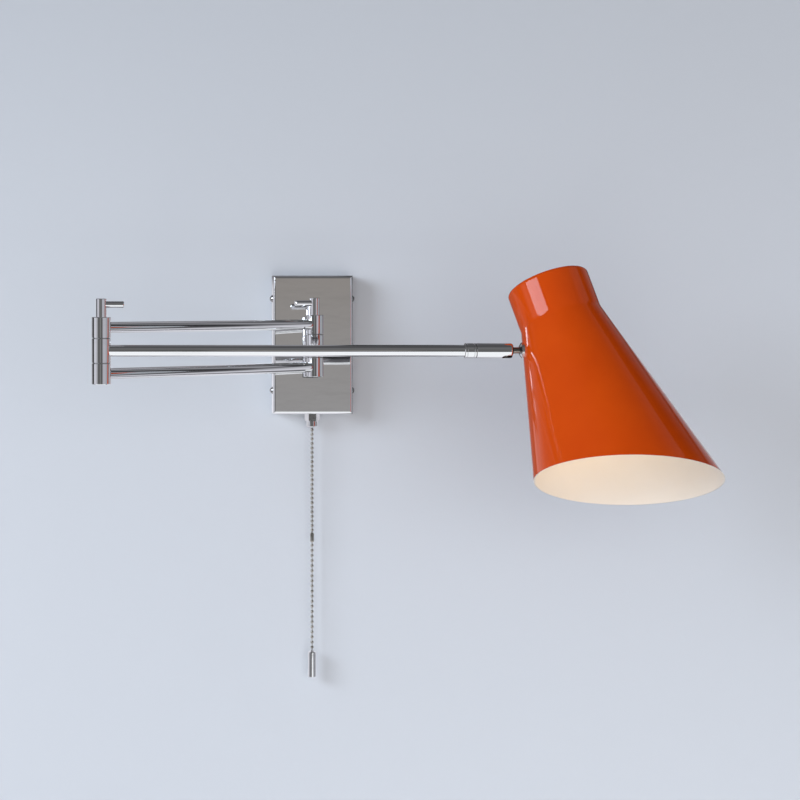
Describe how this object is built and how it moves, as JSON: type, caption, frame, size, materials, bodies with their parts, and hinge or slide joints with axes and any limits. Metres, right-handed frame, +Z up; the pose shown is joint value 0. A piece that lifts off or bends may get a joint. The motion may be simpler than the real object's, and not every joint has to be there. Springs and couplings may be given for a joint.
{
  "type": "accordion wall lamp",
  "caption": "Folding double-arm wall lamp: chrome box mount, twin-tube and single-tube arms on clamp hinges, ball swivel and slant-cut enamel cone shade, with a pull-chain switch.",
  "frame": {"origin": "centre of the lamp's back on the wall", "axes": "+Z up, -Y out from the wall into the room, +X to the right as seen from the room"},
  "size_m": [0.5338, 0.325, 0.3928],
  "materials": {
    "polished_chrome": "mirror-polished chrome plate",
    "chrome_screw": "bright chrome with fine machining marks",
    "bead_chain": "nickel-plated bead chain",
    "zinc_steel": "zinc-plated steel",
    "hinge_washer": "dark spring steel",
    "brass": "turned brass",
    "black_plastic": "black moulded plastic",
    "terminal_plastic": "natural nylon",
    "flex_sheath": "white flex sheath",
    "orange_enamel": "gloss orange outside, cream inside",
    "bulb_cap_metal": "bare aluminium screw cap",
    "opal_glass": "soft white opal"
  },
  "bodies": {
    "wall_mount": {"cover_box": "polished_chrome", "wall_bracket": "zinc_steel", "cover_screws": "chrome_screw", "backing_plate": "zinc_steel", "hinge_post": "polished_chrome", "post_nut": "zinc_steel", "wall_knuckle": "polished_chrome", "terminal_block": "terminal_plastic", "terminal_screws": "brass", "earth_screw": "brass", "switch_body": "black_plastic", "switch_nut": "chrome_screw", "switch_nozzle": "chrome_screw"},
    "first_arm": {"first_arm_tube_upper": "polished_chrome", "first_arm_tube_lower": "polished_chrome", "wall_hinge_knuckle_upper": "polished_chrome", "wall_hinge_knuckle_lower": "polished_chrome", "elbow_hinge_knuckle_upper": "polished_chrome", "elbow_hinge_knuckle_lower": "polished_chrome", "wall_hinge_washers": "hinge_washer", "elbow_hinge_washers": "hinge_washer", "first_arm_flex": "flex_sheath"},
    "wall_clamp": {"wall_clamp_bolt": "polished_chrome", "wall_clamp_lever": "polished_chrome"},
    "elbow_clamp": {"elbow_clamp_bolt": "polished_chrome", "elbow_clamp_lever": "polished_chrome"},
    "second_arm": {"elbow_knuckle": "polished_chrome", "second_arm_tube": "polished_chrome", "second_arm_flex": "flex_sheath", "swivel_collar": "polished_chrome", "retaining_clip": "zinc_steel"},
    "swivel": {"swivel_sleeve": "polished_chrome", "sleeve_bush": "brass", "thrust_ring": "zinc_steel", "disc_springs": "zinc_steel", "ball_seat": "brass"},
    "lamp_head": {"ball_stem": "chrome_screw", "stem_flange": "chrome_screw", "shade": "orange_enamel", "stem_lock_washer": "zinc_steel", "stem_nut": "zinc_steel", "holder_bracket": "zinc_steel", "holder_nipple": "brass", "nipple_nut": "brass", "lampholder": "black_plastic", "holder_ring": "black_plastic", "bulb_cap": "bulb_cap_metal", "bulb_glass": "opal_glass"},
    "pull": {"pull_stub": "brass"},
    "chain_upper_part": {"upper_chain": "bead_chain", "chain_coupling": "bead_chain"},
    "chain_lower_part": {"lower_chain": "bead_chain", "pull_weight": "polished_chrome"}
  },
  "joints": [
    {"name": "wall_hinge", "type": "hinge", "parent": "wall_mount", "child": "first_arm", "pos_m": [0, -0.055, 0], "axis": [0, 0, 1], "range_deg": [-39, 141]},
    {"name": "elbow_hinge", "type": "hinge", "parent": "first_arm", "child": "second_arm", "pos_m": [-0.19429, -0.21233, 0], "axis": [0, 0, -1], "range_deg": [-34, 282]},
    {"name": "wall_clamp_turn", "type": "hinge", "parent": "first_arm", "child": "wall_clamp", "pos_m": [0, -0.055, 0.04], "axis": [0, 0, 1], "range_deg": [0, 180]},
    {"name": "elbow_clamp_turn", "type": "hinge", "parent": "first_arm", "child": "elbow_clamp", "pos_m": [-0.19429, -0.21233, 0.04], "axis": [0, 0, 1], "range_deg": [0, 180]},
    {"name": "swivel_roll", "type": "hinge", "parent": "second_arm", "child": "swivel", "pos_m": [0.13971, -0.21233, 0], "axis": [1, 0, 0], "range_deg": [-160, 160]},
    {"name": "ball_tilt", "type": "hinge", "parent": "swivel", "child": "lamp_head", "pos_m": [0.15471, -0.21233, 0], "axis": [0, 0.9304, -0.3665], "range_deg": [0, 88]},
    {"name": "pull_travel", "type": "slide", "parent": "wall_mount", "child": "pull", "axis": [0, 0, -1], "range_m": [0, 0.007], "stiffness_N_per_m": 500, "springref_m": -0.004},
    {"name": "chain_swing", "type": "hinge", "parent": "pull", "child": "chain_upper_part", "pos_m": [0, -0.0125, -0.0794], "axis": [0, 1, 0], "range_deg": [-25, 25]},
    {"name": "lower_chain_swing", "type": "hinge", "parent": "chain_upper_part", "child": "chain_lower_part", "pos_m": [0, -0.0125, -0.19004], "axis": [1, 0, 0], "range_deg": [-30, 4]}
  ]
}
